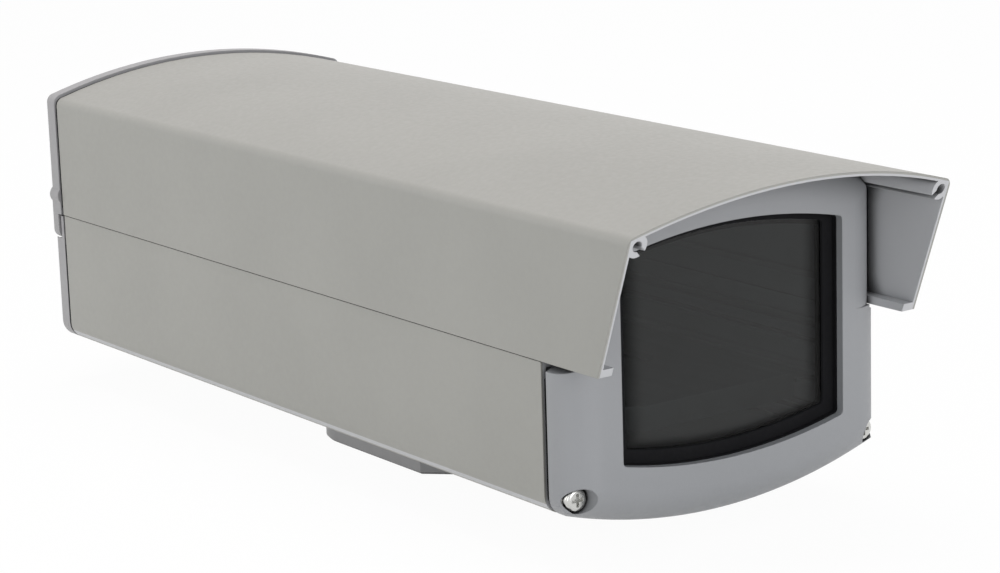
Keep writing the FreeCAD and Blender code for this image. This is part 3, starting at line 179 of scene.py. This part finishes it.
class Finish:
    """A material with a Principled shader, and short ways to add nodes to it."""

    def __init__(self, name, colour, roughness, metallic=0.0):
        self.material = bpy.data.materials.new(name)
        self.material.use_nodes = True
        self.tree = self.material.node_tree
        self.shader = self.tree.nodes["Principled BSDF"]
        self.shader.inputs["Base Color"].default_value = (*colour, 1.0)
        self.shader.inputs["Roughness"].default_value = roughness
        self.shader.inputs["Metallic"].default_value = metallic
        self.place = self.node("ShaderNodeTexCoord").outputs["Object"]
        self.paint = None          # base colour before the painted shade in recesses darkens it
        self.normal = None
        self.painted_shade_openness = None     # how freely a point of the surface stands, which sets the painted shade

    def node(self, kind, **values):
        made = self.tree.nodes.new(kind)
        for key, value in values.items():
            setattr(made, key, value)
        return made

    def link(self, source, target):
        self.tree.links.new(source, target)

    def maths(self, operation, first, second=0.0):
        """One sum; the second term is a socket or a number."""
        made = self.node("ShaderNodeMath", operation=operation)
        self.link(first, made.inputs[0])
        if isinstance(second, float):
            made.inputs[1].default_value = second
        else:
            self.link(second, made.inputs[1])
        return made.outputs[0]

    def ranged(self, source, low, high, first, last):
        """Carries the range from low to high to the one from first to last."""
        made = self.node("ShaderNodeMapRange")
        made.inputs["From Min"].default_value = low
        made.inputs["From Max"].default_value = high
        made.inputs["To Min"].default_value = first
        made.inputs["To Max"].default_value = last
        self.link(source, made.inputs["Value"])
        return made.outputs["Result"]

    def noise(self, scale, detail=2.0, stretch=(1.0, 1.0, 1.0)):
        """Noise; a small stretch value draws it out along that axis."""
        mapping = self.node("ShaderNodeMapping")
        mapping.inputs["Scale"].default_value = stretch
        texture = self.node("ShaderNodeTexNoise")
        texture.inputs["Scale"].default_value = scale
        texture.inputs["Detail"].default_value = detail
        self.link(self.place, mapping.inputs["Vector"])
        self.link(mapping.outputs["Vector"], texture.inputs["Vector"])
        return texture.outputs["Fac"]

    def rough(self, source, low, high):
        """Roughness that follows a noise's middle range from low to high."""
        self.link(self.ranged(source, 0.3, 0.7, low, high), self.shader.inputs["Roughness"])

    def shades(self, source, first, second):
        """Base colour that goes from the first to the second colour with a noise."""
        ramp = self.node("ShaderNodeValToRGB")
        ends = ramp.color_ramp.elements
        ends[0].position, ends[1].position = 0.35, 0.65
        ends[0].color, ends[1].color = (*first, 1.0), (*second, 1.0)
        self.link(source, ramp.inputs["Fac"])
        self.paint = ramp.outputs["Color"]
        shown = self.paint if self.painted_shade_openness is None else self.with_painted_shade(self.paint)
        self.link(shown, self.shader.inputs["Base Color"])

    def paint_recess_shade(self, reach):
        """Painted shade: from here on colours darken in corners and gaps that are narrower than reach, where
        shade falls.
        """
        near = self.node("ShaderNodeAmbientOcclusion", samples=8)
        near.inputs["Distance"].default_value = reach
        self.painted_shade_openness = near.outputs["AO"]

    # Painted shade: darkens a colour where the surface stands in a corner or a gap
    def with_painted_shade(self, colour):
        mix = self.node("ShaderNodeMix", data_type="RGBA", blend_type="MULTIPLY")
        mix.inputs["Factor"].default_value = 1.0
        self.link(colour, mix.inputs["A"])
        self.link(self.ranged(self.painted_shade_openness, 0.13, 0.55, 0.15, 1.0), mix.inputs["B"])
        return mix.outputs["Result"]

    def soften(self, radius):
        """Rounds the look of sharp edges by that radius."""
        edge = self.node("ShaderNodeBevel", samples=4)
        edge.inputs["Radius"].default_value = radius
        self.normal = edge.outputs["Normal"]

    def bump(self, source, depth):
        """Adds a relief of that depth."""
        bump = self.node("ShaderNodeBump")
        bump.inputs["Strength"].default_value = 1.0
        bump.inputs["Distance"].default_value = depth
        self.link(source, bump.inputs["Height"])
        if self.normal is not None:
            self.link(self.normal, bump.inputs["Normal"])
        self.normal = bump.outputs["Normal"]
        self.link(self.normal, self.shader.inputs["Normal"])


def scaled(colour, factor):
    return tuple(c * factor for c in colour)


def powder_coat(name, colour, drawn):
    """Satin powder coat: fine orange peel, with faint lines along Y on an extrusion, and painted shade in
    corners and gaps.
    """
    finish = Finish(name, colour, roughness=0.5)
    finish.soften(radius=0.0005)
    # Painted shade in corners, gaps and recesses
    finish.paint_recess_shade(reach=0.008)
    finish.shades(finish.noise(scale=14.0), scaled(colour, 0.975), scaled(colour, 1.02))
    finish.rough(finish.noise(scale=420.0), 0.44, 0.56)
    finish.bump(finish.noise(scale=900.0, detail=1.0), depth=0.00002)
    if drawn:
        finish.bump(finish.noise(scale=500.0, stretch=DRAWN_ALONG_Y), depth=0.000012)
    else:
        finish.bump(finish.noise(scale=180.0), depth=0.00005)
    return finish


def painted_inside_light(finish, colour, half, axis, radius):
    """Painted light: a lighter, cooler colour within that half width and that distance from the wall's bow
    axis, which brightens the shaded inner faces of the shell.
    """
    place = finish.node("ShaderNodeSeparateXYZ")
    finish.link(finish.place, place.inputs["Vector"])
    wide = finish.maths("ABSOLUTE", place.outputs["X"])
    rise = finish.maths("SUBTRACT", place.outputs["Z"], axis)
    reach = finish.node("ShaderNodeMath", operation="MULTIPLY_ADD")
    finish.link(rise, reach.inputs[0])
    finish.link(rise, reach.inputs[1])
    finish.link(finish.maths("POWER", wide, 2.0), reach.inputs[2])
    within = finish.maths("LESS_THAN", reach.outputs[0], radius ** 2)
    narrow = finish.maths("LESS_THAN", wide, half)
    mix = finish.node("ShaderNodeMix", data_type="RGBA")
    finish.link(finish.maths("MULTIPLY", within, narrow), mix.inputs["Factor"])
    finish.link(finish.paint, mix.inputs["A"])
    mix.inputs["B"].default_value = (*colour, 1.0)
    finish.link(finish.with_painted_shade(mix.outputs["Result"]), finish.shader.inputs["Base Color"])


def turned_steel(name, colour, roughness):
    """Bright metal with fine tool marks."""
    finish = Finish(name, colour, roughness, metallic=1.0)
    finish.soften(radius=0.0003)
    finish.shades(finish.noise(scale=300.0), scaled(colour, 0.9), colour)
    finish.rough(finish.noise(scale=1200.0, stretch=TURNED_MARKS), roughness - 0.08, roughness + 0.1)
    finish.bump(finish.noise(scale=1500.0, detail=1.0, stretch=TURNED_RELIEF), depth=0.000006)
    return finish


def sheet_metal(name, colour):
    """Rolled aluminium sheet, grained along Y."""
    finish = Finish(name, colour, roughness=0.42, metallic=1.0)
    finish.soften(radius=0.0003)
    finish.shades(finish.noise(scale=60.0, detail=3.0, stretch=BANDED_ALONG_Y), scaled(colour, 0.93), colour)
    finish.rough(finish.noise(scale=900.0, stretch=ROLLED_ALONG_Y), 0.34, 0.5)
    finish.bump(finish.noise(scale=1100.0, detail=1.0, stretch=ROLLED_ALONG_Y), depth=0.000008)
    return finish


def moulded(name, colour, roughness, grain, gloss=0.5):
    """Moulded plastic, rubber or matt paint with a fine grain."""
    finish = Finish(name, colour, roughness)
    finish.shader.inputs["Specular IOR Level"].default_value = gloss
    finish.soften(radius=0.0004)
    finish.shades(finish.noise(scale=40.0), scaled(colour, 0.88), scaled(colour, 1.1))
    finish.rough(finish.noise(scale=500.0), roughness - 0.06, roughness + 0.08)
    finish.bump(finish.noise(scale=1400.0), depth=grain)
    return finish


def circuit_board(name):
    """Green lacquer over tracks, which show as bands in a darker tone."""
    finish = Finish(name, (0.02, 0.13, 0.06), roughness=0.35)
    wave = finish.node("ShaderNodeTexWave", wave_type="BANDS", bands_direction="X")
    wave.inputs["Scale"].default_value = 90.0
    wave.inputs["Distortion"].default_value = 2.0
    wave.inputs["Detail"].default_value = 0.0
    finish.link(finish.place, wave.inputs["Vector"])
    finish.shades(wave.outputs["Fac"], (0.012, 0.09, 0.04), (0.03, 0.17, 0.08))
    finish.bump(wave.outputs["Fac"], depth=0.00002)
    return finish


PANE_IOR = 1.4
PANE_SHADED_RIM_IOR = 1.13        # at its border, which reflects less: painted shade
PANE_RIM = 0.009           # width of that border at the sides; half as wide below
PANE_RIM_START = -0.001    # it begins under the lip


def window_pane(name):
    """Grey tinted glass."""
    finish = Finish(name, (0.80, 0.84, 0.84), roughness=0.02)
    finish.shader.inputs["Transmission Weight"].default_value = 1.0
    finish.shader.inputs["IOR"].default_value = PANE_IOR
    finish.shades(finish.noise(scale=20.0), (0.22, 0.24, 0.24), (0.24, 0.26, 0.26))
    finish.bump(finish.noise(scale=30.0, detail=1.0), depth=0.000003)
    return finish


def paint_pane_rim_shade(finish, half, low, bow):
    """Painted shade: dims a pane's reflection towards its sides and its lower edge, where the opening shades
    it: half width, lowest point, radius.
    """
    place = finish.node("ShaderNodeSeparateXYZ")
    finish.link(finish.place, place.inputs["Vector"])
    wide = finish.maths("ABSOLUTE", place.outputs["X"])
    aside = finish.maths("MULTIPLY", finish.maths("SUBTRACT", wide, half), -1.0)
    curve = finish.maths("DIVIDE", finish.maths("POWER", wide, 2.0), 2.0 * bow)
    above = finish.maths("SUBTRACT", finish.maths("SUBTRACT", place.outputs["Z"], low), curve)
    near = finish.maths("MINIMUM", aside, finish.maths("MULTIPLY", above, 2.0))
    gloss = finish.ranged(near, PANE_RIM_START, PANE_RIM, PANE_SHADED_RIM_IOR, PANE_IOR)
    finish.link(gloss, finish.shader.inputs["IOR"])


PROFILE_PAINT = (0.330, 0.327, 0.302)
BEZEL_PAINT = (0.296, 0.302, 0.311)
CAST_PAINT = (0.325, 0.321, 0.325)
# Lighter, cooler colour of the inner faces: painted light in the shade under the visor
INSIDE_LIGHT_COLOUR = (0.500, 0.505, 0.515)

finishes = {
    "cover_paint": powder_coat("cover_paint", PROFILE_PAINT, drawn=True),
    "base_paint": powder_coat("base_paint", PROFILE_PAINT, drawn=True),
    "bezel_paint": powder_coat("bezel_paint", BEZEL_PAINT, drawn=False),
    "cast_paint": powder_coat("cast_paint", CAST_PAINT, drawn=False),
    "black_paint": moulded("black_paint", (0.010, 0.010, 0.010), 0.6, 0.00001, gloss=0.3),
    "stainless": turned_steel("stainless", (0.62, 0.62, 0.60), 0.28),
    "brass": turned_steel("brass", (0.60, 0.42, 0.18), 0.3),
    "rubber": moulded("rubber", (0.008, 0.008, 0.009), 0.75, 0.00001, gloss=0.1),
    "window_glass": window_pane("window_glass"),
    "sled_metal": sheet_metal("sled_metal", (0.42, 0.43, 0.44)),
    "black_plastic": moulded("black_plastic", (0.02, 0.02, 0.02), 0.5, 0.00002),
    "gland_plastic": moulded("gland_plastic", (0.045, 0.045, 0.048), 0.42, 0.00001),
    "nylon": moulded("nylon", (0.62, 0.60, 0.54), 0.45, 0.00001),
    "board": circuit_board("board"),
    "terminal_plastic": moulded("terminal_plastic", (0.03, 0.16, 0.08), 0.4, 0.00001),
}

# Painted light on the inner faces of the cover and the base
painted_inside_light(finishes["cover_paint"], INSIDE_LIGHT_COLOUR, half=0.0791, axis=-0.1206, radius=0.2696)
painted_inside_light(finishes["base_paint"], INSIDE_LIGHT_COLOUR, half=0.0787, axis=0.2529, radius=0.2422)


def dress_nodes():
    """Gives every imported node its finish, by the record's slots."""
    for part in frame["record"]["subparts"]:
        node = nodes[part["node"]]
        node.data.materials.clear()
        node.data.materials.append(finishes[part["material_slot"]].material)


# Black lip round the pane, and the painted shade on the pane's border

PANE_LAP = 0.0047          # glass beyond the opening
OPENING_SIDE = 0.0811      # height of the opening at its sides
OPENING_CORNER = 0.002
CORNER_STEPS = 6
BOW_STEPS = 20
LIP_LINING = 0.0005        # thickness on the opening's wall
LIP_WIDTH = 0.0060         # cover on the glass
LIP_THICK = 0.0009
LIP_DEPTH = 0.0031         # how far the lining stands out from the glass
LIP_FREE = 0.00003         # keeps its faces off the wall and the glass
LIP_TOP_SHARE = 0.5        # how much narrower it is along the top


class Opening:
    """The bezel's opening in front of the pane: a rectangle with a bowed top and bottom."""

    def __init__(self, low, high):
        self.half = high.x - PANE_LAP
        self.top = (high.z - low.z) / 2 - PANE_LAP
        self.middle = (high.z + low.z) / 2
        rise = self.top - OPENING_SIDE / 2
        self.bow = (self.half ** 2 + rise ** 2) / (2 * rise)     # radius

    def quarter(self, inset):
        """From the right side up to the top, round the middle, that far inside the edge."""
        bow = self.bow - inset
        low = self.top - inset - bow
        corner = OPENING_CORNER
        x = self.half - inset - corner
        z = low + math.sqrt((bow - corner) ** 2 - x ** 2)
        end = math.atan2(z - low, x)
        turns = [end * i / CORNER_STEPS for i in range(CORNER_STEPS + 1)]
        points = [(x + corner * math.cos(a), z + corner * math.sin(a)) for a in turns]
        angles = [end + (math.pi / 2 - end) * i / BOW_STEPS for i in range(1, BOW_STEPS + 1)]
        return points + [(bow * math.cos(a), low + bow * math.sin(a)) for a in angles]

    def loop(self, inset, y):
        """Closed loop that far inside the edge, less far along the top."""
        quarter = self.quarter(inset)
        upper = quarter + [(-x, z) for x, z in reversed(quarter[:-1])]
        lower = [(x, -z) for x, z in reversed(upper)]
        lift = LIP_TOP_SHARE * (inset - LIP_FREE)
        return [(x, y, self.middle + z + (lift if z > 0 else 0.0)) for x, z in upper + lower]


def add_window_lip():
    """Rubber lip: lines the opening's wall and covers the rim of the glass; also paints shade on the pane's
    border.
    """
    low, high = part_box("window_glass")
    opening = Opening(low, high)
    front, face, back = low.y - LIP_DEPTH, low.y - LIP_THICK, low.y - LIP_FREE
    section = [(LIP_FREE, front), (LIP_LINING, front), (LIP_LINING, face),
               (LIP_WIDTH - LIP_THICK / 2, face), (LIP_WIDTH, back), (LIP_FREE, back)]
    loops = [opening.loop(inset, y) for inset, y in section]
    count = len(loops[0])
    faces = []
    for i in range(len(loops)):
        here, there = i * count, (i + 1) % len(loops) * count
        for k in range(count):
            n = (k + 1) % count
            faces.append((here + k, there + k, there + n, here + n))
    mesh = bpy.data.meshes.new("window_gasket_lip")
    mesh.from_pydata([point for loop in loops for point in loop], [], faces)
    mesh.validate()
    mesh.update()
    piece = bpy.data.objects.new("window_gasket_lip", mesh)
    bpy.context.scene.collection.objects.link(piece)
    mesh.materials.append(finishes["rubber"].material)
    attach(piece, "base")
    # Painted shade on the pane's border
    paint_pane_rim_shade(finishes["window_glass"], opening.half - LIP_WIDTH, low.z + PANE_LAP + LIP_WIDTH, opening.bow)


def main():
    add_camera()
    set_world()
    add_floor()
    for lamp in LAMPS:
        add_lamp(*lamp)
    dress_nodes()
    add_window_lip()
    bpy.context.scene.view_settings.view_transform = "Standard"


main()
